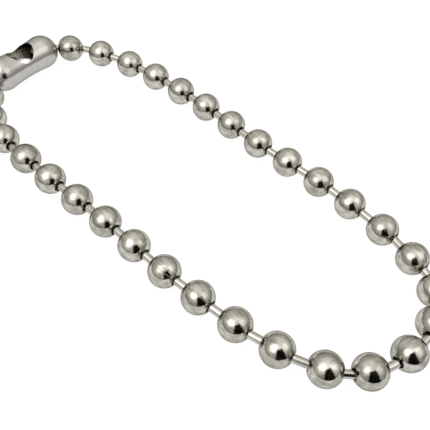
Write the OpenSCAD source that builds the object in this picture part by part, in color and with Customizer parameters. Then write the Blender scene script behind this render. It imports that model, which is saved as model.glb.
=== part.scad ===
// Ball chain necklace, closed by its sleeve clasp and laid flat on a table.
// Hollow beads are joined by rods with domed ends that slide in the beads.

/* [Beads] */
// Outer diameter of a bead
bead_d = 10; // [8:0.5:12]
// Sheet thickness of a bead
bead_wall = 0.5; // [0.3:0.05:0.7]
// Diameter of the hole at each pole of a bead
hole_d = 3.3; // [3.1:0.05:3.5]

/* [Rods] */
// Diameter of a rod between two beads
rod_d = 2.5; // [1.8:0.1:2.6]
// Diameter of the dome at each end of a rod
dome_d = 3.7; // [3.6:0.05:3.9]
// Length of rod that shows between two beads when the chain is pulled straight
rod_show = 4.7; // [4.4:0.1:5.6]
// Gap between a dome and the rim of the bead's hole when the chain is pulled straight
dome_gap = 0.1; // [0.05:0.05:0.2]

/* [Clasp] */
// Sheet thickness of the clasp's sleeve
clasp_wall = 0.7; // [0.4:0.05:1]
// Play all round an end bead in the sleeve
bead_play = 0.6; // [0.2:0.05:0.8]
// Gap between an end bead and the sleeve below it
seat_gap = 0.1; // [0.05:0.05:0.15]
// Depth of the waist between the sleeve's two lobes
waist_in = 0.55; // [0.2:0.05:0.6]
// How much wider the window is than a bead
window_play = 0.2; // [0.2:0.1:0.8]
// Length of sleeve between the window's edge and the middle of an end bead
window_cover = 4.2; // [3.5:0.1:4.4]
// Play on each side of a rod in the slot at the sleeve's end
slot_play = 0.55; // [0.4:0.05:0.8]
// Angle through which a slot lets its rod swing away from the sleeve's line
slot_swing = 15; // [12:1:30]

/* [Hidden] */
// Number of beads, with the two inside the clasp
bead_n = 32;
// Chosen points of the chain on the table: number of the bead, and x and y of its middle,
// both as shares of the distance from bead to bead when the chain is pulled straight
ROUTE = [
    [2, -5.58, 1.12], [3, -4.8, 1.56], [4, -3.91, 1.8], [6, -2.14, 1.97], [9, 0.51, 1.9],
    [12, 3.16, 1.87], [14, 4.9, 1.56], [15, 5.61, 1.19], [16, 5.95, 0.54], [17, 5.92, -0.31],
    [18, 5.58, -1.09], [19, 4.97, -1.6], [20, 4.12, -1.9], [22, 2.35, -2.11], [25, -0.31, -2.14],
    [28, -2.99, -2.21], [29, -3.88, -2.18], [30, -4.69, -1.97], [31, -5.41, -1.56]
];
// Chosen middle of the clasp, as the same shares
CLASP_XY = [-5.85, -0.24];
// Direction of the clasp's line, from the last bead to the first
CLASP_TURN = 93.5;
// How strongly a bead beside a sharp bend swings back, to keep its rods straight in their holes
swing_back = 0.2;

bead_r = bead_d / 2;
hole_r = hole_d / 2;
rod_r = rod_d / 2;
dome_r = dome_d / 2;
pitch = bead_d + rod_show;
// Distance of a bead's middle from its hole's outer and inner rim, and from the hole's own middle
rim_out = sqrt(pow(bead_r, 2) - pow(hole_r, 2));
rim_in = sqrt(pow(bead_r - bead_wall, 2) - pow(hole_r, 2));
hole_at = (rim_out + rim_in) / 2;
// Distance of a dome's middle from the hole's, where the dome is dome_gap away from the inner rim
function dome_depth(tilt) =
    let (
        rim = (rim_out - rim_in) / 2,
        level = hole_r * sin(tilt) + rim * cos(tilt)
    )
    level + sqrt(pow(level, 2) - pow(hole_r, 2) - pow(rim, 2) + pow(dome_r + dome_gap, 2));
rod_len = pitch - 2 * (hole_at - dome_depth(0));

lobe_r = bead_r + bead_play + clasp_wall;
waist_r = lobe_r - waist_in;
window_r = bead_r + window_play / 2;
clasp_half = window_r + window_cover;
slot_r = rod_r + slot_play;
// Radius of the waist's hollow curve, which runs on smoothly from both lobes
waist_curve = (pow(waist_r, 2) + pow(clasp_half, 2) - pow(lobe_r, 2)) / (2 * waist_in);
// Where that curve meets a lobe, along the sleeve
curve_end = clasp_half * waist_curve / (waist_curve + lobe_r);
end_bead_z = lobe_r - bead_play + seat_gap;
// The slots lie level with the rods, which go down from the end beads to the next ones
slot_z = (end_bead_z + bead_r) / 2;
clasp_dir = [cos(CLASP_TURN), sin(CLASP_TURN)];

// A smooth curve through the chosen points, with the bead's number as its parameter
last = len(ROUTE) - 1;
function knot_n(k) = ROUTE[k][0];
function knot_xy(k) = pitch * [ROUTE[k][1], ROUTE[k][2]];
function chord(k) = (knot_xy(k + 1) - knot_xy(k)) / (knot_n(k + 1) - knot_n(k));
function slope(k) =
    k == 0 ? chord(0) :
    k == last ? chord(last - 1) :
    let (before = knot_n(k) - knot_n(k - 1), after = knot_n(k + 1) - knot_n(k))
    (chord(k) * before + chord(k - 1) * after) / (before + after);
function knot_before(n) = max([for (k = [0:last - 1]) if (knot_n(k) <= n) k]);
function on_route(n) =
    let (
        k = knot_before(n),
        wide = knot_n(k + 1) - knot_n(k),
        t = (n - knot_n(k)) / wide,
        rise = 3 * t * t - 2 * t * t * t
    )
    knot_xy(k) * (1 - rise) + knot_xy(k + 1) * rise
    + slope(k) * wide * t * (1 - t) * (1 - t)
    - slope(k + 1) * wide * t * t * (1 - t);

clasp_xy = pitch * CLASP_XY;
end_xy = [clasp_xy + clasp_half * clasp_dir, clasp_xy - clasp_half * clasp_dir];
chain_xy = [end_xy[0], for (n = [2:bead_n - 1]) on_route(n), end_xy[1]];

// The origin is on the table, in the middle of the box round the beads and the clasp's lobes
reach = [for (i = [0:bead_n - 1]) i == 0 || i == bead_n - 1 ? lobe_r : bead_r];
function box_middle(axis) =
    (max([for (i = [0:bead_n - 1]) chain_xy[i][axis] + reach[i]])
    + min([for (i = [0:bead_n - 1]) chain_xy[i][axis] - reach[i]])) / 2;
origin_xy = [box_middle(0), box_middle(1)];
beads = [
    for (i = [0:bead_n - 1])
    let (p = chain_xy[i] - origin_xy)
    [p[0], p[1], i == 0 || i == bead_n - 1 ? end_bead_z : bead_r]
];

// Direction of each bead's holes, half way between the rods on its two sides
function unit(v) = v / norm(v);
clasp_line = [clasp_dir[0], clasp_dir[1], 0];
lines = [
    clasp_line, clasp_line,
    for (i = [0:bead_n - 2]) unit(beads[i + 1] - beads[i]),
    clasp_line, clasp_line
];
function free_axis(i) =
    unit((0.5 + swing_back) * (lines[i + 1] + lines[i + 2]) - swing_back * (lines[i] + lines[i + 3]));
function mirrored(v, line) = 2 * (v * line) * line - v;
axes = [
    mirrored(free_axis(1), lines[2]),
    for (i = [1:bead_n - 2]) free_axis(i),
    mirrored(free_axis(bead_n - 2), lines[bead_n])
];

// The names of the pieces
bead_names = [for (i = [1:bead_n]) str("bead_", i < 10 ? "0" : "", i)];
// Sides of round shapes, and of the waist's much wider curve
round_fn = 64;
waist_fn = 360;
// How far a cut runs past the metal
past = 1;

// Turns +Z to the given direction
module aim(direction) {
    rotate([0, acos(direction[2]), atan2(direction[1], direction[0])]) children();
}

// A hollow ball with a hole at each pole
module bead() {
    color("silver")
    rotate_extrude($fn = round_fn)
    difference() {
        circle(r = bead_r, $fn = round_fn);
        circle(r = bead_r - bead_wall, $fn = round_fn);
        translate([-bead_r - past, -bead_r - past]) square([bead_r + past + hole_r, bead_d + 2 * past]);
    }
}

// A rod with a domed end at both sides, flat inside the bead
module rod() {
    color("gainsboro")
    rotate_extrude($fn = round_fn)
    union() {
        translate([0, -rod_len / 2]) square([rod_r, rod_len]);
        for (side = [-1, 1])
            intersection() {
                translate([0, side * rod_len / 2]) circle(r = dome_r, $fn = round_fn);
                translate([0, -rod_len / 2]) square([dome_r, rod_len]);
            }
    }
}

// All rods, each through the holes of two beads and slid deeper into the one it is more tilted in
module rods() {
    for (i = [0:bead_n - 2]) {
        from = beads[i] + hole_at * axes[i];
        to = beads[i + 1] - hole_at * axes[i + 1];
        line = unit(to - from);
        slide = (dome_depth(acos(line * axes[i + 1])) - dome_depth(acos(line * axes[i]))) / 2;
        translate((from + to) / 2 + slide * line) aim(line) rod();
    }
}

// Half outline of the sleeve, moved inwards from its outside
module sleeve_outline(inwards) {
    difference() {
        union() {
            translate([0, -curve_end]) square([lobe_r, 2 * curve_end]);
            for (side = [-1, 1])
                translate([0, side * clasp_half])
                intersection() {
                    circle(r = lobe_r - inwards, $fn = round_fn);
                    translate([0, -lobe_r]) square([lobe_r, 2 * lobe_r]);
                }
        }
        translate([waist_r + waist_curve, 0]) circle(r = waist_curve + inwards, $fn = waist_fn);
    }
}

// Rolled sleeve with a waist, a window on top and a slot in each end
module clasp() {
    at = (beads[0] + beads[bead_n - 1]) / 2;
    swing = lobe_r * sin(slot_swing);
    color("darkgray")
    translate([at[0], at[1], lobe_r])
    rotate([0, 0, CLASP_TURN - 90])
    difference() {
        rotate([-90, 0, 0]) rotate_extrude($fn = round_fn) sleeve_outline(0);
        rotate([-90, 0, 0]) rotate_extrude($fn = round_fn) sleeve_outline(clasp_wall);
        cylinder(r = window_r, h = lobe_r + past, $fn = round_fn);
        for (side = [-1, 1])
            translate([0, side * clasp_half, slot_z - lobe_r]) rotate([-90 * side, 0, 0]) {
                cylinder(r = slot_r, h = lobe_r + past, $fn = round_fn);
                translate([swing, 0, 0]) cylinder(r = slot_r, h = lobe_r + past, $fn = round_fn);
                translate([0, -slot_r, 0]) cube([swing, 2 * slot_r, lobe_r + past]);
            }
    }
}

for (i = [0:bead_n - 1])
    translate(beads[i]) aim(axes[i]) bead();
rods();
clasp();
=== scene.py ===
"""Looks of the ball chain necklace: polished steel beads, rods and sleeve clasp on a white table."""
import math
import random

import bpy
import numpy as np
from mathutils import Matrix, Vector


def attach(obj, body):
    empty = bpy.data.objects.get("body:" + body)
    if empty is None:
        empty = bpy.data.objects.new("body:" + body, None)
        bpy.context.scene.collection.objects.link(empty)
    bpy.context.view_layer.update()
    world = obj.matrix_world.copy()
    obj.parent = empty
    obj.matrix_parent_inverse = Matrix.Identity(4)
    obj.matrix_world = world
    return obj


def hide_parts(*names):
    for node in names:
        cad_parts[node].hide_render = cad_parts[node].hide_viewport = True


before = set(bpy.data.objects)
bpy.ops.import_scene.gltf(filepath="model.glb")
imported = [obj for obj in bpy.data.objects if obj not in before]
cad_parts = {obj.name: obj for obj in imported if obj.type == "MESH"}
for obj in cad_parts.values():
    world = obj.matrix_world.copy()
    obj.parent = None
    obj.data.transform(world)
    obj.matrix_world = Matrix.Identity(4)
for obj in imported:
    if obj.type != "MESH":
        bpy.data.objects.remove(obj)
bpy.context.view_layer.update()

# Driving sizes in metres, which agree with the part's source
MM = 0.001
BEAD_N = 32
BEAD_R = 5 * MM
BEAD_WALL = 0.5 * MM
HOLE_R = 1.65 * MM
ROD_R = 1.25 * MM
DOME_R = 1.85 * MM
CLASP_WALL = 0.7 * MM
BEAD_PLAY = 0.6 * MM
SEAT_GAP = 0.1 * MM
WAIST_IN = 0.55 * MM
WINDOW_PLAY = 0.2 * MM
WINDOW_COVER = 4.2 * MM
SLOT_PLAY = 0.55 * MM
SLOT_ANGLE = math.radians(15)

# Sizes of the clasp that follow from them
LOBE_R = BEAD_R + BEAD_PLAY + CLASP_WALL
WAIST_R = LOBE_R - WAIST_IN
WINDOW_R = BEAD_R + WINDOW_PLAY / 2
CLASP_HALF = WINDOW_R + WINDOW_COVER
SLOT_R = ROD_R + SLOT_PLAY
SLOT_DROP = (LOBE_R + BEAD_PLAY - SEAT_GAP - BEAD_R) / 2
SLOT_SWING = LOBE_R * math.sin(SLOT_ANGLE)
# Radius of the waist's hollow curve, which runs on smoothly from both lobes
WAIST_CURVE = (WAIST_R ** 2 + CLASP_HALF ** 2 - LOBE_R ** 2) / (2 * WAIST_IN)

# Seams that the photograph shows: number of the bead, how far its seam is turned from the bead's upper
# side in degrees, and its depth in millimetres
SHOWN_SEAMS = {6: (0, 0.04), 14: (-10, 0.20), 22: (-18, 0.04), 23: (-28, 0.04), 26: (40, 0.04)}
# The bead with a small pit beside its seam, and the pit's place on it in millimetres
SCARRED_BEAD = 14
SCAR_AT = (0.455, 3.87, 3.13)
# Colours of the painted shade round the holes and in the pit, and of the grime in the seams
HOLE_SHADE = (0.02, 0.017, 0.013)
SEAM_GRIME = (0.13, 0.12, 0.10)

BEAD_NAMES = [f"bead_{i + 1:02d}" for i in range(BEAD_N)]
UP = np.array((0.0, 0.0, 1.0))
SEED = 100
scene = bpy.context.scene


# Camera

def place_camera():
    """The photograph's camera: above and beside the near end of the loop, looking down across it."""
    at = Vector((86.26, -85.3, 140.82)) * MM
    right = Vector((0.73720, 0.67484, 0.03353))
    up = Vector((-0.54836, 0.56856, 0.61322))
    forward = Vector((-0.39476, 0.47045, -0.78920))
    data = bpy.data.cameras.new("camera")
    data.sensor_width = 36
    data.lens = 45.82
    data.clip_start = 0.01
    camera = bpy.data.objects.new("camera", data)
    turn = Matrix((right, up, -forward)).transposed().to_4x4()
    camera.matrix_world = Matrix.Translation(at) @ turn
    scene.collection.objects.link(camera)
    scene.camera = camera


# Where the beads and the rods are

def triangles(obj):
    """Corners of an object's triangles, as an array of triangles by corners by axes."""
    mesh = obj.data
    mesh.calc_loop_triangles()
    co = np.empty(len(mesh.vertices) * 3)
    mesh.vertices.foreach_get("co", co)
    index = np.empty(len(mesh.loop_triangles) * 3, np.int32)
    mesh.loop_triangles.foreach_get("vertices", index)
    return co.reshape(-1, 3)[index].reshape(-1, 3, 3)


def middle_and_axes(tris):
    """Middle of a thin surface, and its main directions from the shortest to the longest."""
    area = np.linalg.norm(np.cross(tris[:, 1] - tris[:, 0], tris[:, 2] - tris[:, 0]), axis=1)
    spots = tris.mean(1)
    middle = (spots * area[:, None]).sum(0) / area.sum()
    arm = spots - middle
    spread = (arm * area[:, None]).T @ arm / area.sum()
    return middle, np.linalg.eigh(spread)[1].T


def find_beads():
    """Middle of each bead, and the direction of its holes, onwards round the closed chain."""
    found = [middle_and_axes(triangles(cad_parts[name])) for name in BEAD_NAMES]
    at = np.array([middle for middle, axes in found])
    axis = [axes[0] for middle, axes in found]
    for i in range(BEAD_N):
        onward = at[(i + 1) % BEAD_N] - at[i - 1]
        if axis[i] @ onward < 0:
            axis[i] = -axis[i]
    return at, axis


def find_rods():
    """Middle, direction and length of each rod. Its triangles are those nearest to the point halfway
    between its two beads."""
    tris = triangles(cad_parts["rods"])
    halfway = (bead_at[1:] + bead_at[:-1]) / 2
    nearest = np.linalg.norm(tris.mean(1)[:, None] - halfway[None], axis=2).argmin(1)
    found = []
    for i in range(BEAD_N - 1):
        own = tris[nearest == i]
        middle, axes = middle_and_axes(own)
        axis = axes[2] if axes[2] @ (bead_at[i + 1] - bead_at[i]) > 0 else -axes[2]
        along = (own.reshape(-1, 3) - middle) @ axis
        found.append((middle, axis, along.max() - along.min()))
    return found


def turned_to(axis, roll=0.0):
    """Columns x, y, z of a frame with z along the axis, rolled about it from the side that faces up."""
    z = np.array(axis) / np.linalg.norm(axis)
    x = UP - (UP @ z) * z
    x /= np.linalg.norm(x)
    y = np.cross(z, x)
    c, s = math.cos(roll), math.sin(roll)
    return np.array((c * x + s * y, c * y - s * x, z)).T


# Mesh tools

def add_piece(name, verts, faces, materials, nodes, face_material=None, at=(0, 0, 0), turn=None,
              made=None):
    """Adds a piece with its origin at a place and its turn worked into its mesh. The attribute "made"
    keeps the positions from before the turn, or others if they are given, and the materials follow it."""
    verts = np.array(verts)
    mesh = bpy.data.meshes.new(name)
    mesh.from_pydata(verts if turn is None else verts @ turn.T, [], faces)
    for material in materials:
        mesh.materials.append(material)
    if face_material is not None:
        mesh.polygons.foreach_set("material_index", face_material)
    mesh.shade_smooth()
    formed = mesh.attributes.new("made", "FLOAT_VECTOR", "POINT")
    formed.data.foreach_set("vector", (verts if made is None else made).ravel())
    piece = bpy.data.objects.new(name, mesh)
    scene.collection.objects.link(piece)
    piece.location = Vector(at)
    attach(piece, "root")
    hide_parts(*nodes)


def arc(middle, radius, start, end, steps):
    """Points (distance from the axis, height) on an arc; angles from the axis, in radians."""
    return [(middle[0] + radius * math.sin(a), middle[1] + radius * math.cos(a))
            for a in np.linspace(start, end, steps + 1)]


def lathe(radius, height, angles):
    """Points of an outline turned about the z axis, ring by ring."""
    rings = np.stack((radius * np.cos(angles), radius * np.sin(angles), height + 0 * angles), 2)
    return rings.reshape(-1, 3)


def ring_faces(rings, columns, closed):
    """Quads between neighbouring rings of one lathe; a closed one joins its last ring to its first."""
    faces = []
    for j in range(rings if closed else rings - 1):
        a, b = j * columns, (j + 1) % rings * columns
        for i in range(columns):
            k = (i + 1) % columns
            faces.append((a + i, a + k, b + k, b + i))
    return faces


# Beads

def bead_outline():
    """Closed outline of the sheet, from the upper hole down the outside and back up inside, and how many
    of its points belong to the outside."""
    # Radii of the rounded edges at the holes, outside and inside, and steps of each arc
    lip, burr = 0.2 * MM, 0.08 * MM
    lip_steps, ball_steps, burr_steps, inner_steps = 6, 56, 2, 16
    inner_r = BEAD_R - BEAD_WALL
    lip_z = math.sqrt((BEAD_R - lip) ** 2 - (HOLE_R + lip) ** 2)
    burr_z = math.sqrt((inner_r + burr) ** 2 - (HOLE_R + burr) ** 2)
    lip_turn = math.asin((HOLE_R + lip) / (BEAD_R - lip))
    burr_turn = math.asin((HOLE_R + burr) / (inner_r + burr))
    top_lip = arc((HOLE_R + lip, lip_z), lip, -math.pi / 2, lip_turn, lip_steps)
    ball = arc((0, 0), BEAD_R, lip_turn, math.pi - lip_turn, ball_steps)[1:-1]
    outside = top_lip + ball + [(r, -z) for r, z in reversed(top_lip)]
    top_burr = arc((HOLE_R + burr, burr_z), burr, -math.pi / 2, -math.pi + burr_turn, burr_steps)
    low_burr = [(r, -z) for r, z in top_burr]
    inner = arc((0, 0), inner_r, math.pi - burr_turn, burr_turn, inner_steps)[1:-1]
    return np.array(outside + low_burr + inner + top_burr[::-1]), len(outside)


def seam_columns():
    """Angles of the lathe's columns, closer together at the seam, and the share of its depth at each."""
    near = [-2.4, -1.3, -0.7, -0.3, 0.3, 0.7, 1.3, 2.4]
    depth = [0, 0, 0.35, 1, 1, 0.35, 0, 0]
    rest = np.arange(5, 360, 5)
    return np.radians(np.concatenate((near, rest))), np.array(depth + [0] * len(rest))


def dented(verts, outer, draw):
    """Presses the outside of a bead inwards over a few shallow round patches."""
    dents = []
    for _ in range(draw.randint(2, 4)):
        spot = np.array([draw.gauss(0, 1) for _ in range(3)])
        wide = draw.uniform(0.5, 1.3) * MM
        deep = draw.uniform(0.006, 0.022) * MM
        dents.append((spot / np.linalg.norm(spot), wide, deep))
    away = np.linalg.norm(verts, axis=1)
    for spot, wide, deep in dents:
        gap = np.linalg.norm(verts - spot * BEAD_R, axis=1) / wide
        push = deep * np.exp(-2 * gap ** 2) * outer
        verts = verts * (1 - push / away)[:, None]
    return verts


def bead(i, material, inside_material):
    """A hollow ball with rounded edges at its holes, a seam from hole to hole and a few dents."""
    draw = random.Random(SEED + i)
    # A seam that the photograph doesn't show lies somewhere on the bead's underside
    unseen = (180 + draw.uniform(-70, 70), draw.uniform(0.05, 0.1))
    roll, depth = SHOWN_SEAMS.get(i + 1, unseen)
    outline, outside_n = bead_outline()
    radius, height = outline[:, :1], outline[:, 1:]
    angles, seam = seam_columns()
    # Rings at each hole that the seam doesn't reach, because the sheet is pressed together there
    plain_rings = 4
    has_seam = np.zeros((len(outline), 1))
    has_seam[plain_rings:outside_n - plain_rings] = 1
    size = 1 - has_seam * seam * depth * MM / BEAD_R
    verts = lathe(radius * size, height * size, angles)
    outer = np.arange(len(verts)) < outside_n * len(angles)
    # The outline runs downwards outside, so its faces are turned to point out of the sheet
    faces = [face[::-1] for face in ring_faces(len(outline), len(angles), True)]
    inside = [0 if j < (outside_n - 1) * len(angles) else 1 for j in range(len(faces))]
    add_piece(f"ball_{i + 1:02d}", dented(verts, outer, draw), faces, (material, inside_material),
              [BEAD_NAMES[i]], inside, bead_at[i],
              turned_to(bead_axis[i], math.radians(roll)))


# Rods

def rod_outline(half):
    """Outline of half a rod, from its middle to the flat end inside the bead."""
    # Radii of the fillet between rod and dome and of the dome's rounded edge
    fillet, edge = 0.15 * MM, 0.12 * MM
    # Angles at which the dome's arc stops and its rounded edge starts
    dome_stop, edge_start = math.pi - 1.5, math.pi / 2 - 0.3
    rod_steps, fillet_steps, dome_steps, edge_steps = 3, 4, 8, 3
    foot = half - math.sqrt((DOME_R + fillet) ** 2 - (ROD_R + fillet) ** 2)
    turn = math.asin((ROD_R + fillet) / (DOME_R + fillet))
    points = [(ROD_R, z) for z in np.linspace(0, foot, rod_steps + 1)[:-1]]
    points += arc((ROD_R + fillet, foot), fillet, -math.pi / 2, -turn, fillet_steps)
    points += arc((0, half), DOME_R, math.pi - turn, dome_stop, dome_steps)[1:]
    points += arc((DOME_R - edge, half - edge), edge, edge_start, 0, edge_steps)
    # Two rings on the flat end keep its shading flat
    points += [(DOME_R * share, half) for share in (0.6, 0.25)]
    return points


def rods(material):
    """All rods in one piece. Their material sees them side by side, so that each has its own pattern."""
    columns = 48
    apart = 20 * MM
    angles = np.arange(columns) * 2 * math.pi / columns
    verts, faces, made = [], [], []
    for i, (middle, axis, length) in enumerate(find_rods()):
        half = rod_outline(length / 2)
        outline = np.array([(r, -z) for r, z in reversed(half)] + half[1:])
        local = lathe(outline[:, :1], outline[:, 1:], angles)
        first = i * len(local)
        last = first + len(local) - columns
        verts.append(local @ turned_to(axis).T + middle)
        made.append(local + (i * apart, 0, 0))
        faces += [tuple(first + k for k in face) for face in ring_faces(len(outline), columns, False)]
        faces.append(tuple(first + k for k in reversed(range(columns))))
        faces.append(tuple(last + k for k in range(columns)))
    add_piece("chain_rods", np.concatenate(verts), faces, (material,), ["rods"],
              made=np.concatenate(made))


# Clasp

def sleeve_radius(y, inwards):
    """Radius of the sleeve's waist at distance y from its middle, on a surface moved inwards."""
    return WAIST_R + WAIST_CURVE - math.sqrt((WAIST_CURVE + inwards) ** 2 - y * y)


def curve_end(inwards):
    """Distance from the sleeve's middle at which its waist goes over into a lobe."""
    return CLASP_HALF * (WAIST_CURVE + inwards) / (WAIST_CURVE + LOBE_R)


def slot_reach(turn):
    """Distance from the sleeve's axis to the slot's edge, in the direction turned from straight up. It is
    found by halving the gap between a distance inside the slot and one beyond it."""
    halvings = 40
    dx, dz = math.sin(turn), math.cos(turn)

    def in_slot(reach):
        x, z = reach * dx, reach * dz + SLOT_DROP
        near = min(max(x, 0), SLOT_SWING)
        return math.hypot(x - near, z) < SLOT_R

    low, high = 0.0, BEAD_R
    for _ in range(halvings):
        mid = (low + high) / 2
        low, high = (mid, high) if in_slot(mid) else (low, mid)
    return low


class Sleeve:
    """Sheet of the sleeve clasp, in its own frame: y along it, z up, the window on top."""
    columns = 144
    tube_rows = 48
    cap_rows = 14
    # Columns on each side of the top that belong to the block round the window
    block_turn = 44
    # How far the sheet's rounded edges reach over each of its surfaces
    edge = 0.12 * MM
    # Rings of that block, as shares of the way from the window's edge to the block's border
    ring_shares = [0.9, 0.78, 0.65, 0.52, 0.4, 0.29, 0.2, 0.13, 0.07, 0.03]

    def __init__(self):
        self.verts, self.faces = [], []
        self.turns = [2 * math.pi * (i - self.columns // 2) / self.columns for i in range(self.columns)]
        self.reach = [slot_reach(turn) for turn in self.turns]
        self.block_first = self.columns // 2 - self.block_turn
        self.block_last = self.columns // 2 + self.block_turn

    def point(self, y, turn, inwards):
        """A point of the waist."""
        r = sleeve_radius(y, inwards)
        return (r * math.sin(turn), y, r * math.cos(turn))

    def add(self, points):
        """Adds vertices and returns their numbers."""
        first = len(self.verts)
        self.verts += points
        return list(range(first, first + len(points)))

    def join(self, ring, after, flip=False):
        """Adds the quads between two closed rings of vertices."""
        count = len(ring)
        for i in range(count):
            k = (i + 1) % count
            quad = (ring[i], ring[k], after[k], after[i])
            self.faces.append(quad[::-1] if flip else quad)

    def skin(self, inwards):
        """One surface of the sheet. Returns its rings of vertices at the window and at both slots, and
        the points of the window's sharp edge."""
        first = len(self.faces)
        ys = np.linspace(-curve_end(inwards), curve_end(inwards), self.tube_rows + 1)
        grid = self.tube(ys, inwards)
        slots = []
        for side, j in ((-1, 0), (1, self.tube_rows)):
            slots.append(self.cap([grid[i, j] for i in range(self.columns)], side, inwards))
        window, edge = self.window_block(grid, ys, inwards)
        if inwards:
            self.faces[first:] = [face[::-1] for face in self.faces[first:]]
        return window, slots, edge

    def tube(self, ys, inwards):
        """The waist without the window's block. Returns its vertices by column and row."""
        rows = self.tube_rows
        grid = {}
        for j, y in enumerate(ys):
            for i, turn in enumerate(self.turns):
                if self.block_first < i < self.block_last and 0 < j < rows:
                    continue
                grid[i, j] = self.add([self.point(y, turn, inwards)])[0]
        for j in range(rows):
            for i in range(self.columns):
                if self.block_first <= i < self.block_last:
                    continue
                k = (i + 1) % self.columns
                self.faces.append((grid[i, j], grid[k, j], grid[k, j + 1], grid[i, j + 1]))
        return grid

    def cap(self, ring, side, inwards):
        """The end of a lobe, from the waist's last ring to the slot, whose ring it returns."""
        radius = LOBE_R - inwards
        start = math.acos((curve_end(inwards) - CLASP_HALF) / radius)
        for step in range(1, self.cap_rows + 1):
            points = []
            for turn, reach in zip(self.turns, self.reach):
                stop = math.asin(reach / radius) + self.edge / radius
                a = start + (stop - start) * step / self.cap_rows
                points.append((radius * math.sin(a) * math.sin(turn),
                               side * (CLASP_HALF + radius * math.cos(a)),
                               radius * math.sin(a) * math.cos(turn)))
            after = self.add(points)
            self.join(ring, after, side < 0)
            ring = after
        return ring

    def window_block(self, grid, ys, inwards):
        """The block between the waist's quads and the window. Returns its ring of vertices beside the
        window, and the points of the window's sharp edge."""
        rows, first, last = self.tube_rows, self.block_first, self.block_last
        border = [(i, 0) for i in range(first, last)] + [(last, j) for j in range(rows)]
        border += [(i, rows) for i in range(last, first, -1)] + [(first, j) for j in range(rows, 0, -1)]
        ring = [grid[b] for b in border]
        outside = [(self.turns[i], ys[j]) for i, j in border]
        rim = [self.window_edge(turn, y, inwards) for turn, y in outside]
        # The last ring has no share, because it lies one rounded edge away from the window
        for share in self.ring_shares + [None]:
            points = []
            for (turn, y), (rim_turn, rim_y) in zip(outside, rim):
                span = math.hypot((turn - rim_turn) * WAIST_R, y - rim_y)
                at = self.edge / span if share is None else share
                points.append(self.point(rim_y + (y - rim_y) * at, rim_turn + (turn - rim_turn) * at,
                                         inwards))
            after = self.add(points)
            self.join(ring, after)
            ring = after
        return ring, [self.point(y, turn, inwards) for turn, y in rim]

    def window_edge(self, turn, y, inwards):
        """Where the window's round edge lies in the direction of a point of the block's border."""
        a = math.atan2(turn * WAIST_R, y)
        rim_x, rim_y = WINDOW_R * math.sin(a), WINDOW_R * math.cos(a)
        share = min(max(rim_x / sleeve_radius(rim_y, inwards), -1), 1)
        return math.asin(share), rim_y

    def slot_edge(self, side, inwards):
        """Points of a slot's sharp edge."""
        radius = LOBE_R - inwards
        return [(r * math.sin(t), side * (CLASP_HALF + math.sqrt(radius ** 2 - r * r)), r * math.cos(t))
                for t, r in zip(self.turns, self.reach)]

    def rim(self, outer, outer_edge, inner, inner_edge, flip):
        """The sheet's edge between its two surfaces, with both corners rounded."""
        edge_a, edge_b = np.array(outer_edge), np.array(inner_edge)
        down = edge_b - edge_a
        down /= np.linalg.norm(down, axis=1)[:, None]
        start = np.array([self.verts[k] for k in outer])
        stop = np.array([self.verts[k] for k in inner])
        wall_a, wall_b = edge_a + down * self.edge, edge_b - down * self.edge
        rings = [outer]
        for first, corner, then in ((start, edge_a, wall_a), (wall_b, edge_b, stop)):
            for t in (0, 0.25, 0.5, 0.75, 1):
                if (first is start and t == 0) or (then is stop and t == 1):
                    continue
                points = first * (1 - t) ** 2 + corner * 2 * t * (1 - t) + then * t * t
                rings.append(self.add([tuple(p) for p in points]))
        rings.append(inner)
        for ring, after in zip(rings, rings[1:]):
            self.join(ring, after, flip)

    def build(self):
        """Makes the whole sheet. Returns the material of each face: 0 for the outer surface and the
        slots' edges, 1 for the inner surface and the window's edge."""
        outer, outer_slots, outer_edge = self.skin(0)
        outer_n = len(self.faces)
        inner, inner_slots, inner_edge = self.skin(CLASP_WALL)
        self.rim(outer, outer_edge, inner, inner_edge, False)
        inside_n = len(self.faces) - outer_n
        for side, ring, inner_ring in zip((-1, 1), outer_slots, inner_slots):
            self.rim(ring, self.slot_edge(side, 0), inner_ring, self.slot_edge(side, CLASP_WALL),
                     side < 0)
        slots_n = len(self.faces) - outer_n - inside_n
        return [0] * outer_n + [1] * inside_n + [0] * slots_n


def clasp(material, inside_material):
    """The sleeve round the first and the last bead."""
    sleeve = Sleeve()
    material_of_face = sleeve.build()
    along = bead_at[0] - bead_at[-1]
    along[2] = 0
    along /= np.linalg.norm(along)
    turn = np.array((np.cross(along, UP), along, UP)).T
    middle = (bead_at[0] + bead_at[-1]) / 2
    middle[2] = LOBE_R
    add_piece("clasp_sleeve", sleeve.verts, sleeve.faces, (material, inside_material),
              ["clasp"], material_of_face, middle, turn)


# Material tools

def new_material(name):
    """A material and its node tree, which is empty."""
    material = bpy.data.materials.new(name)
    material.use_nodes = True
    material.node_tree.nodes.clear()
    return material, material.node_tree


def node(tree, kind, **values):
    """Adds a shader node. Each value is a property of it or an input, by its name with underscores for
    spaces or, as i0, i1 and so on, by its number. An input is set, or linked if the value is a socket."""
    made = tree.nodes.new(kind)
    for key, value in values.items():
        if hasattr(made, key):
            setattr(made, key, value)
            continue
        numbered = key[0] == "i" and key[1:].isdigit()
        target = made.inputs[int(key[1:]) if numbered else key.replace("_", " ")]
        if isinstance(value, bpy.types.NodeSocket):
            tree.links.new(value, target)
        else:
            target.default_value = value
    return made


def set_surface(tree, shader):
    """Makes a shader the material's surface."""
    node(tree, "ShaderNodeOutputMaterial", Surface=shader.outputs[0])


def maths(tree, operation, *values):
    """A sum, a product or the like of numbers."""
    inputs = {f"i{k}": value for k, value in enumerate(values)}
    return node(tree, "ShaderNodeMath", operation=operation, **inputs).outputs[0]


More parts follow.
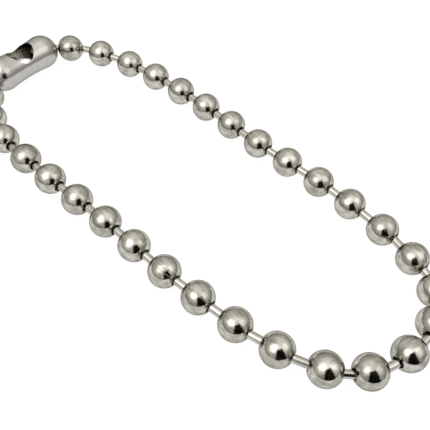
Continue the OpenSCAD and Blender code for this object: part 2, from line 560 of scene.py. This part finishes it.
def vector_maths(tree, operation, *values):
    """The same with vectors. A dot product and a distance are numbers, the rest are vectors."""
    inputs = {f"i{k}": value for k, value in enumerate(values)}
    made = node(tree, "ShaderNodeVectorMath", operation=operation, **inputs)
    return made.outputs["Value" if operation in ("DOT_PRODUCT", "DISTANCE") else "Vector"]


def change(tree, value, start, end, low=0.0, high=1.0):
    """Goes evenly from low to high while the value goes from start to end, and no further."""
    return node(tree, "ShaderNodeMapRange", Value=value, From_Min=start, From_Max=end, To_Min=low,
                To_Max=high).outputs[0]


def ramp(tree, share, stops):
    """A colour ramp; each stop is a position and a grey or a colour."""
    made = node(tree, "ShaderNodeValToRGB", i0=share)
    points = made.color_ramp.elements
    while len(points) < len(stops):
        points.new(0.5)
    for point, (position, colour) in zip(points, stops):
        point.position = position
        point.color = (*(colour if isinstance(colour, tuple) else (colour,) * 3), 1)
    return made.outputs[0]


def paint(tree, share, under, colour):
    """Lays a colour over what is under it, as thickly as the share says."""
    return node(tree, "ShaderNodeMixRGB", Fac=share, Color1=under, Color2=(*colour, 1)).outputs[0]


def noise(tree, where, scale, detail, roughness):
    """Noise of one scale, or stretched by its own scale along each axis."""
    if isinstance(scale, tuple):
        where = node(tree, "ShaderNodeMapping", Vector=where, Scale=scale).outputs[0]
        scale = 1.0
    return node(tree, "ShaderNodeTexNoise", Vector=where, Scale=scale, Detail=detail,
                Roughness=roughness).outputs[0]


def bump(tree, height, distance, strength=1.0, under=None):
    """Normal that follows a height, on top of the one under it if that is given."""
    made = node(tree, "ShaderNodeBump", Strength=strength, Distance=distance, Height=height)
    if under is not None:
        tree.links.new(under, made.inputs["Normal"])
    return made.outputs[0]


# Metals

def with_grime_and_shade(tree, local, cloud, colour):
    """Grime in a bead's seam, and painted shade round its holes, where the gap between hole and rod is
    dark.
    """
    # Distances from the seam's middle at which its grime ends and at which it is full
    seam_end, seam_full = 0.09 * MM, 0.03 * MM
    # The holes' painted shade goes by the distance above or below the bead's middle, to which the cloud
    # pattern adds up to this much, so that the shade's edge is uneven
    uneven = 0.9 * MM
    hole_start, hole_full = BEAD_R + 0.04 * MM, BEAD_R + 0.12 * MM
    x, y, z = node(tree, "ShaderNodeSeparateXYZ", Vector=local).outputs
    # The seam runs from hole to hole on the bead's +X side
    seam = change(tree, maths(tree, "ABSOLUTE", y), seam_end, seam_full)
    seam = maths(tree, "MULTIPLY", seam, maths(tree, "GREATER_THAN", x, 0.0))
    colour = paint(tree, seam, colour, SEAM_GRIME)
    height = maths(tree, "MULTIPLY_ADD", cloud, uneven, maths(tree, "ABSOLUTE", z))
    return paint(tree, change(tree, height, hole_start, hole_full), colour, HOLE_SHADE)


def with_pit_shade(tree, local, scar, colour):
    """Painted shade of one small pit."""
    scar_end, scar_full = 0.36 * MM, 0.2 * MM
    gap = vector_maths(tree, "DISTANCE", local, Vector(scar) * MM)
    return paint(tree, change(tree, gap, scar_end, scar_full), colour, HOLE_SHADE)


def steel(name, light, dark, edge, rough, waves, streaks=0.0, pitting=0.0, holes=False, scar=None):
    """Polished steel with faint tarnish, smudges, an uneven surface, fine drawn lines and small pits.

    Its colour goes from light metal to dark tarnish, and to edge at a glancing angle. Waves, streaks and
    pitting are the heights of its unevenness and scar is the place of a small pit, all in millimetres."""
    material, tree = new_material(name)
    local = node(tree, "ShaderNodeAttribute", attribute_name="made").outputs["Vector"]
    # Each object's place moves its patterns by this many times as much, so that each has its own
    moved = (7, 7, 7)
    place = node(tree, "ShaderNodeObjectInfo").outputs["Location"]
    where = vector_maths(tree, "MULTIPLY_ADD", place, moved, local)
    # Lines along the piece, from drawing and forming the metal
    lines = noise(tree, where, scale=(1150, 1150, 150), detail=4.0, roughness=0.6)
    cloud = noise(tree, where, scale=330.0, detail=5.0, roughness=0.6)
    tarnish_and_shade = maths(tree, "MULTIPLY", cloud, lines)
    colour = ramp(tree, tarnish_and_shade, ((0.13, dark), (0.34, light)))
    if holes:
        colour = with_grime_and_shade(tree, local, cloud, colour)
    if scar:
        colour = with_pit_shade(tree, local, scar, colour)
    smudge = noise(tree, where, scale=700.0, detail=6.0, roughness=0.7)
    smudge = maths(tree, "MULTIPLY", lines, smudge)
    gloss = ramp(tree, smudge, ((0.12, rough * 0.7), (0.42, rough * 1.6)))
    wave = noise(tree, where, scale=300.0, detail=1.0, roughness=0.4)
    pits = node(tree, "ShaderNodeTexVoronoi", Vector=where, Scale=500.0).outputs["Distance"]
    pits = ramp(tree, pits, ((0.04, 0.0), (0.10, 1.0)))
    normal = bump(tree, wave, waves * MM)
    normal = bump(tree, lines, streaks * MM, under=normal)
    normal = bump(tree, pits, pitting * MM, strength=0.6, under=normal)
    set_surface(tree, node(tree, "ShaderNodeBsdfPrincipled", Metallic=1.0, Base_Color=colour,
                           Roughness=gloss, Normal=normal, Specular_Tint=(*edge, 1)))
    return material


def sleeve_inside():
    """Inside of the sleeve: painted shade in grey, brown and black, and a painted highlight beside the
    window's near edge."""
    material, tree = new_material("sleeve_inside")
    local = node(tree, "ShaderNodeAttribute", attribute_name="made").outputs["Vector"]
    patches = noise(tree, local, scale=300.0, detail=1.0, roughness=0.5)
    lines = noise(tree, local, scale=(130, 420, 130), detail=1.0, roughness=0.5)
    # Painted shade: the colour grows darker, from grey through brown to black, towards the top and the
    # first bead, and the lines make it uneven
    darker = (0, 0.40, 0.90)
    uneven = 1.6 * MM
    shade_start, shade_stop = -2 * MM, 9 * MM
    along = vector_maths(tree, "DOT_PRODUCT", local, darker)
    along = maths(tree, "MULTIPLY_ADD", lines, uneven, along)
    tarnish_and_shade = ramp(tree, change(tree, along, shade_start, shade_stop),
                   ((0.0, (0.48, 0.47, 0.44)), (0.2, (0.62, 0.60, 0.54)), (0.42, (0.55, 0.49, 0.40)),
                    (0.56, (0.22, 0.19, 0.14)), (0.68, (0.014, 0.013, 0.011))))
    # The painted highlight, a bright crescent, lies below a slanting level, which the patches make ragged
    slant = (-0.337, 0.514, 0.789)
    ragged = 0.5 * MM
    highlight_end, highlight_full = 2.3 * MM, 1.8 * MM
    level = vector_maths(tree, "DOT_PRODUCT", local, slant)
    level = maths(tree, "MULTIPLY_ADD", patches, ragged, level)
    painted_highlight = change(tree, level, highlight_end, highlight_full)
    colour = paint(tree, painted_highlight, tarnish_and_shade, (0.82, 0.82, 0.80))
    # It leans over, so that it mirrors the light
    lean = vector_maths(tree, "DOT_PRODUCT", local, (0.3, 0.45, -0.2))
    normal = bump(tree, lean, 1.0, strength=painted_highlight)
    normal = bump(tree, lines, 0.01 * MM, under=normal)
    gloss = change(tree, painted_highlight, 0.0, 1.0, low=0.5, high=0.35)
    set_surface(tree, node(tree, "ShaderNodeBsdfPrincipled", Metallic=1.0, Base_Color=colour,
                           Roughness=gloss, Normal=normal))
    return material


# Studio

def add_stage(name, verts, faces, material, at=None):
    """Adds a flat piece of the studio. One with a place faces the middle of the necklace, and the camera
    doesn't see it."""
    mesh = bpy.data.meshes.new(name)
    mesh.from_pydata(verts, [], faces)
    mesh.materials.append(material)
    made = bpy.data.objects.new(name, mesh)
    scene.collection.objects.link(made)
    if at is not None:
        turn = Matrix([list(row) for row in turned_to(-at)]).to_4x4()
        made.matrix_world = Matrix.Translation(Vector(at)) @ turn
        made.visible_camera = False
    return made


def room():
    """Soft light from all round, lightest overhead."""
    world = bpy.data.worlds.new("room")
    scene.world = world
    world.use_nodes = True
    tree = world.node_tree
    tree.nodes.clear()
    where = node(tree, "ShaderNodeTexCoord").outputs["Generated"]
    height = node(tree, "ShaderNodeSeparateXYZ", Vector=where).outputs[2]
    sky = ramp(tree, height, ((0.0, (0.185, 0.175, 0.155)), (0.11, (0.22, 0.21, 0.19)),
                              (0.24, (0.31, 0.305, 0.285)), (0.36, (0.35, 0.345, 0.325)),
                              (0.7, (0.44, 0.435, 0.41)), (0.87, (0.52, 0.515, 0.49)),
                              (0.96, (0.65, 0.65, 0.62)), (1.0, (0.75, 0.75, 0.72))))
    back = node(tree, "ShaderNodeBackground", Color=sky, Strength=2.0)
    node(tree, "ShaderNodeOutputWorld", Surface=back.outputs[0])


def table(reach):
    """White table, as bright as the photograph's, which reaches this far from the origin to each side."""
    paper, tree = new_material("table_paper")
    set_surface(tree, node(tree, "ShaderNodeBsdfPrincipled", Base_Color=(0.10, 0.10, 0.10, 1),
                           Roughness=1.0, Specular_IOR_Level=0.0, Emission_Color=(1.0, 1.0, 1.0, 1),
                           Emission_Strength=0.93))
    corners = [(-reach, -reach, 0), (reach, -reach, 0), (reach, reach, 0), (-reach, reach, 0)]
    add_stage("table", corners, [(0, 1, 2, 3)], paper)


def dark_card(at, half_wide, half_high):
    """A dark card that only the metal mirrors. It narrows towards its top, its sides fade out raggedly,
    and its bottom is cut straight."""
    narrowing, raggedness = 0.22, 0.7
    cloth, tree = new_material("dark_cloth")
    where = node(tree, "ShaderNodeTexCoord").outputs["Object"]
    x, y = node(tree, "ShaderNodeSeparateXYZ", Vector=where).outputs[:2]
    up = maths(tree, "MULTIPLY", x, 1 / half_high)
    side = maths(tree, "MULTIPLY", maths(tree, "ABSOLUTE", y), 1 / half_wide)
    side = maths(tree, "MULTIPLY_ADD", up, narrowing, side)
    ragged = noise(tree, where, scale=16.0, detail=4.0, roughness=0.6)
    out = maths(tree, "MULTIPLY_ADD", ragged, raggedness, maths(tree, "MAXIMUM", side, up))
    # The ramp ends at 1, so the distance outwards is made smaller to fit in it
    faded = ramp(tree, maths(tree, "MULTIPLY", out, 0.6),
                 ((0.69, 0.0), (0.73, 0.5), (0.82, 0.68), (0.90, 1.0)))
    dark = node(tree, "ShaderNodeBsdfPrincipled", Base_Color=(0.005, 0.005, 0.004, 1), Roughness=1.0,
                Specular_IOR_Level=0.0)
    clear = node(tree, "ShaderNodeBsdfTransparent")
    both = node(tree, "ShaderNodeMixShader", i0=faded, i1=dark.outputs[0], i2=clear.outputs[0])
    set_surface(tree, both)
    # Lower, upper and side edges of the card
    low, high, wide = -108 * MM, 105 * MM, 125 * MM
    corners = [(low, -wide, 0), (low, wide, 0), (high, wide, 0), (high, -wide, 0)]
    card = add_stage("dark_card", corners, [(0, 1, 2, 3)], cloth, at)
    card.visible_shadow = False
    card.visible_diffuse = False


def lamp(name, at, radius, strength):
    """A round lamp that fades towards its edge."""
    sides = 48
    glow, tree = new_material(name)
    where = node(tree, "ShaderNodeTexCoord").outputs["Object"]
    wide = node(tree, "ShaderNodeMapping", Vector=where, Scale=(1 / radius,) * 3)
    ball = node(tree, "ShaderNodeTexGradient", gradient_type="SPHERICAL", Vector=wide.outputs[0])
    fall = ramp(tree, ball.outputs[0], ((0.0, 0.0), (0.3, 0.12), (0.62, 0.7), (0.8, 0.8)))
    light = node(tree, "ShaderNodeEmission", Strength=strength, Color=fall)
    clear = node(tree, "ShaderNodeBsdfTransparent")
    set_surface(tree, node(tree, "ShaderNodeAddShader", i0=light.outputs[0], i1=clear.outputs[0]))
    rim = [(radius * math.cos(a), radius * math.sin(a), 0)
           for a in np.linspace(0, 2 * math.pi, sides, endpoint=False)]
    add_stage(name, rim, [tuple(range(sides))], glow, at)


place_camera()
bead_at, bead_axis = find_beads()

bead_look = {"light": (0.59, 0.573, 0.523), "dark": (0.29, 0.276, 0.243), "edge": (0.5, 0.49, 0.47),
             "rough": 0.10, "waves": 0.10, "streaks": 0.022, "pitting": 0.03, "holes": True}
bead_metal = steel("bead_metal", **bead_look)
pit_shaded_metal = steel("pit_shaded_metal", scar=SCAR_AT, **bead_look)
rod_metal = steel("rod_metal", light=(0.55, 0.54, 0.50), dark=(0.42, 0.40, 0.36),
                  edge=(0.55, 0.54, 0.52), rough=0.15, waves=0.01, streaks=0.01, pitting=0.01)
clasp_metal = steel("clasp_metal", light=(0.50, 0.488, 0.472), dark=(0.45, 0.438, 0.42),
                    edge=(0.5, 0.49, 0.47), rough=0.15, waves=0.006)
# Painted shade: the beads' insides are coloured dark, as the shade in them looks
shaded_inner_metal = steel("shaded_inner_metal", light=(0.10, 0.09, 0.075), dark=(0.05, 0.045, 0.035),
                    edge=(0.6, 0.6, 0.6), rough=0.35, waves=0.02, streaks=0.01, pitting=0.02)
# The two beads in the clasp are duller than the free ones, and their darker colour is painted shade from
# the sleeve round them
dull_shaded_metal = steel("dull_shaded_metal", light=(0.40, 0.385, 0.35), dark=(0.13, 0.12, 0.105),
                   edge=(0.6, 0.6, 0.6), rough=0.30, waves=0.05, streaks=0.03, pitting=0.03, holes=True)

metal_of_bead = {0: dull_shaded_metal, SCARRED_BEAD - 1: pit_shaded_metal, BEAD_N - 1: dull_shaded_metal}
for i in range(BEAD_N):
    bead(i, metal_of_bead.get(i, bead_metal), shaded_inner_metal)
rods(rod_metal)
clasp(clasp_metal, sleeve_inside())

room()
table(reach=3.0)
dark_card(at=np.array((153, -89, 98)) * MM, half_wide=77 * MM, half_high=100 * MM)
lamp("lamp_left", at=np.array((-39, -227, 350)) * MM, radius=0.30, strength=2.3)
lamp("lamp_right", at=np.array((420, 225, 530)) * MM, radius=0.46, strength=0.95)
scene.view_settings.view_transform = "Standard"
